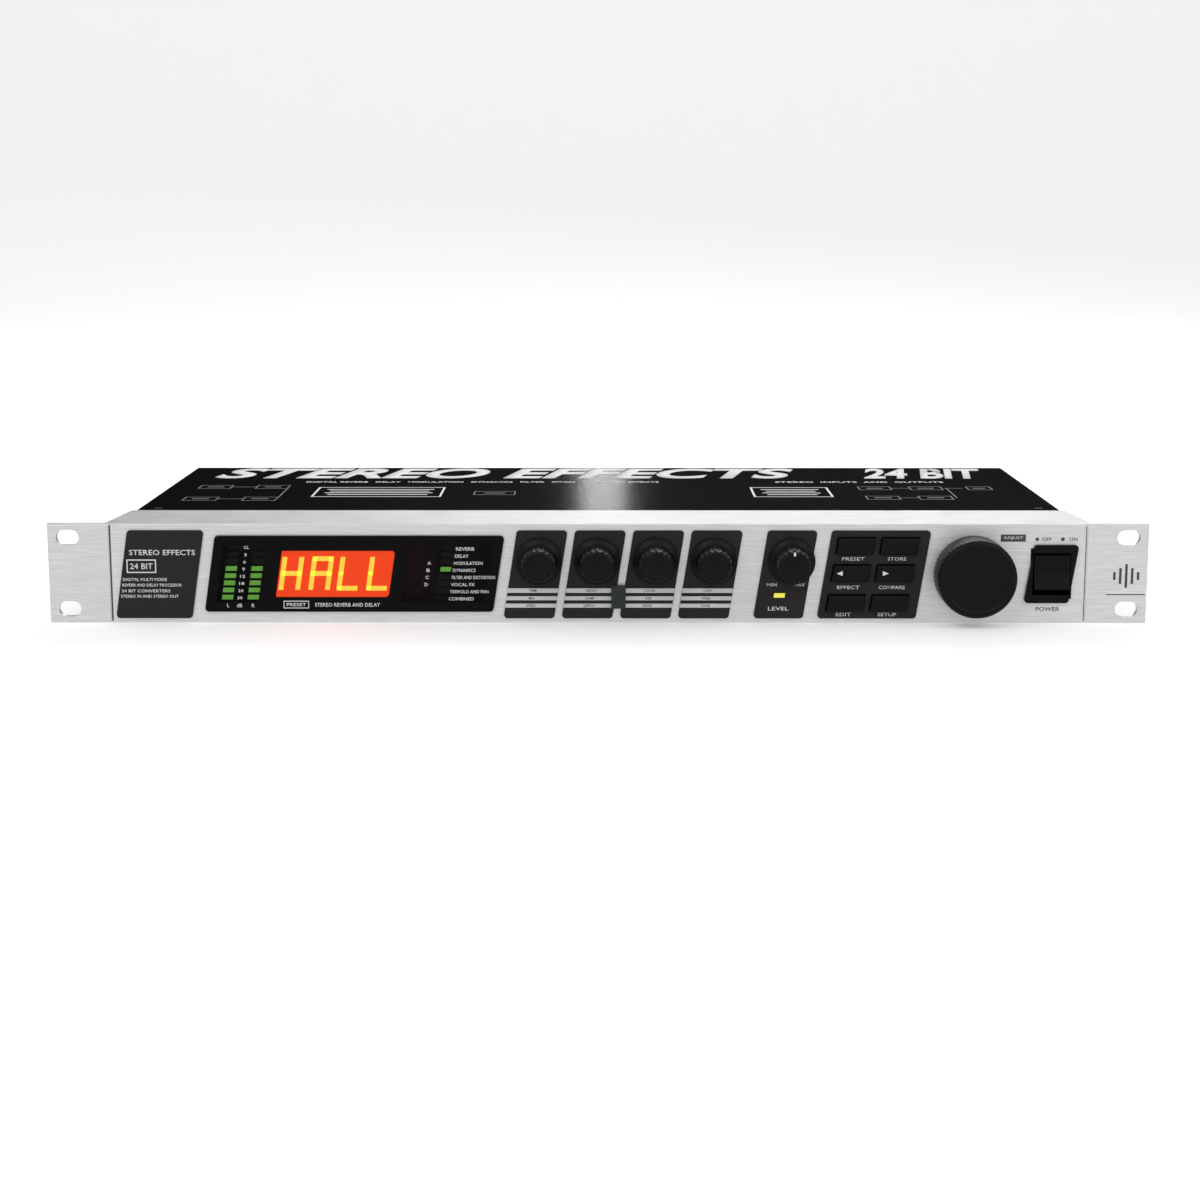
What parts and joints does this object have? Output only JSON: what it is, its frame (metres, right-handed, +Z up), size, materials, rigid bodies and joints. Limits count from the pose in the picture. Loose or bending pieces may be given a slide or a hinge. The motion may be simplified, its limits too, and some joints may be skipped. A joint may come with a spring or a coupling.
{
  "type": "rack effects unit",
  "caption": "One-unit rack audio effects processor: slotted ears, leaning front plates, display, knobs, keys, data wheel and rocker switch, with audio and mains sockets behind.",
  "frame": {"origin": "middle of the whole unit's footprint, on its underside", "axes": "+Z up, +X to the right seen from the front, front face towards -Y"},
  "size_m": [0.4826, 0.217, 0.044],
  "materials": {
    "brushed_panel": "fine level brushing, satin",
    "bracket_steel": "satin plated steel",
    "dark_plate": "satin print on thin plate",
    "smoked_lens": "clear smoked, gloss",
    "dark_lens": "dark tinted, gloss",
    "display_glow": "lit display face",
    "lamp": "diffused lamp lens",
    "board": "solder mask over glass fibre",
    "control_body": "plated control case",
    "knob_black": "matt moulded",
    "shaft_metal": "turned",
    "key_cap": "satin moulded",
    "socket_black": "moulded, fine grain",
    "tray_paint": "satin black paint on steel",
    "cover_paint": "gloss black paint on steel",
    "black_screw": "black plated",
    "bright_nickel": "bright plated",
    "standoff_brass": "turned",
    "chip_black": "moulded package",
    "can_sleeve": "shrink sleeve",
    "core_steel": "varnished laminations",
    "sink": "extruded",
    "fuse_glass": "clear tube",
    "lead_cover": "insulation",
    "flat_cable": "flat cable"
  },
  "bodies": {
    "chassis": {"front_panel": "brushed_panel", "side_brackets": "bracket_steel", "title_plate": "dark_plate", "display_window": "smoked_lens", "edit_plates": "dark_plate", "level_plate": "dark_plate", "button_plate": "dark_plate", "led_display": "display_glow", "indicator_leds": "lamp", "front_board": "board", "rotary_controls": "control_body", "tact_switches": "socket_black", "power_switch_housing": "socket_black", "chassis_tray": "tray_paint", "top_cover": "cover_paint", "case_screws": "black_screw", "connector_screws": "black_screw", "iec_inlet": "socket_black", "iec_pins": "bright_nickel", "xlr_output_sockets": "socket_black", "xlr_output_pins": "bright_nickel", "edit_indicator": "dark_lens", "xlr_input_sockets": "socket_black", "din_sockets": "socket_black", "jack_sockets": "socket_black", "jack_nuts": "bright_nickel", "level_switch_bodies": "socket_black", "main_board": "board", "power_supply_board": "board", "board_standoffs": "standoff_brass", "board_screws": "bright_nickel", "board_chips": "chip_black", "board_capacitors": "can_sleeve", "transformer": "core_steel", "heat_sink": "sink", "mains_wires": "lead_cover", "ribbon_cable": "flat_cable"},
    "edit_control_1": {"edit_knob_1": "knob_black", "edit_shaft_1": "shaft_metal"},
    "edit_control_2": {"edit_knob_2": "knob_black", "edit_shaft_2": "shaft_metal"},
    "edit_control_3": {"edit_knob_3": "knob_black", "edit_shaft_3": "shaft_metal"},
    "edit_control_4": {"edit_knob_4": "knob_black", "edit_shaft_4": "shaft_metal"},
    "level_control": {"level_knob": "knob_black", "level_shaft": "shaft_metal"},
    "wheel_control": {"data_wheel": "knob_black", "data_wheel_shaft": "shaft_metal"},
    "left_top_push": {"left_top_key": "key_cap"},
    "left_middle_push": {"left_middle_key": "key_cap"},
    "left_bottom_push": {"left_bottom_key": "key_cap"},
    "right_top_push": {"right_top_key": "key_cap"},
    "right_middle_push": {"right_middle_key": "key_cap"},
    "right_bottom_push": {"right_bottom_key": "key_cap"},
    "rocker": {"power_rocker": "socket_black"},
    "level_push_1": {"level_button_1": "socket_black"},
    "level_push_2": {"level_button_2": "socket_black"},
    "fuse_carrier": {"fuse_drawer": "socket_black", "fuse": "fuse_glass"}
  },
  "joints": [
    {"name": "edit_knob_1_turn", "type": "hinge", "parent": "chassis", "child": "edit_control_1", "pos_m": [-0.0258, -0.0927, 0.0277], "axis": [0, 1, 0], "continuous": true},
    {"name": "edit_knob_2_turn", "type": "hinge", "parent": "chassis", "child": "edit_control_2", "pos_m": [-0.00022, -0.0927, 0.0277], "axis": [0, 1, 0], "continuous": true},
    {"name": "edit_knob_3_turn", "type": "hinge", "parent": "chassis", "child": "edit_control_3", "pos_m": [0.02536, -0.0927, 0.0277], "axis": [0, 1, 0], "continuous": true},
    {"name": "edit_knob_4_turn", "type": "hinge", "parent": "chassis", "child": "edit_control_4", "pos_m": [0.05094, -0.0927, 0.0277], "axis": [0, 1, 0], "continuous": true},
    {"name": "level_knob_turn", "type": "hinge", "parent": "chassis", "child": "level_control", "pos_m": [0.085, -0.0927, 0.0277], "axis": [0, 1, 0], "range_deg": [-150, 150]},
    {"name": "data_wheel_turn", "type": "hinge", "parent": "chassis", "child": "wheel_control", "pos_m": [0.1644, -0.0927, 0.022], "axis": [0, 1, 0], "continuous": true},
    {"name": "left_top_key_press", "type": "slide", "parent": "chassis", "child": "left_top_push", "axis": [0, 1, 0], "range_m": [0, 0.0008], "stiffness_N_per_m": 500, "springref_m": -0.002},
    {"name": "left_middle_key_press", "type": "slide", "parent": "chassis", "child": "left_middle_push", "axis": [0, 1, 0], "range_m": [0, 0.0008], "stiffness_N_per_m": 500, "springref_m": -0.002},
    {"name": "left_bottom_key_press", "type": "slide", "parent": "chassis", "child": "left_bottom_push", "axis": [0, 1, 0], "range_m": [0, 0.0008], "stiffness_N_per_m": 500, "springref_m": -0.002},
    {"name": "right_top_key_press", "type": "slide", "parent": "chassis", "child": "right_top_push", "axis": [0, 1, 0], "range_m": [0, 0.0008], "stiffness_N_per_m": 500, "springref_m": -0.002},
    {"name": "right_middle_key_press", "type": "slide", "parent": "chassis", "child": "right_middle_push", "axis": [0, 1, 0], "range_m": [0, 0.0008], "stiffness_N_per_m": 500, "springref_m": -0.002},
    {"name": "right_bottom_key_press", "type": "slide", "parent": "chassis", "child": "right_bottom_push", "axis": [0, 1, 0], "range_m": [0, 0.0008], "stiffness_N_per_m": 500, "springref_m": -0.002},
    {"name": "power_rocker_tilt", "type": "hinge", "parent": "chassis", "child": "rocker", "pos_m": [0.19895, -0.0875, 0.022], "axis": [1, 0, 0], "range_deg": [0, 16]},
    {"name": "level_button_1_press", "type": "slide", "parent": "chassis", "child": "level_push_1", "axis": [0, -1, 0], "range_m": [0, 0.0025], "stiffness_N_per_m": 300, "springref_m": -0.003},
    {"name": "level_button_2_press", "type": "slide", "parent": "chassis", "child": "level_push_2", "axis": [0, -1, 0], "range_m": [0, 0.0025], "stiffness_N_per_m": 300, "springref_m": -0.003},
    {"name": "fuse_drawer_slide", "type": "slide", "parent": "chassis", "child": "fuse_carrier", "axis": [0, 1, 0], "range_m": [0, 0.025]}
  ]
}
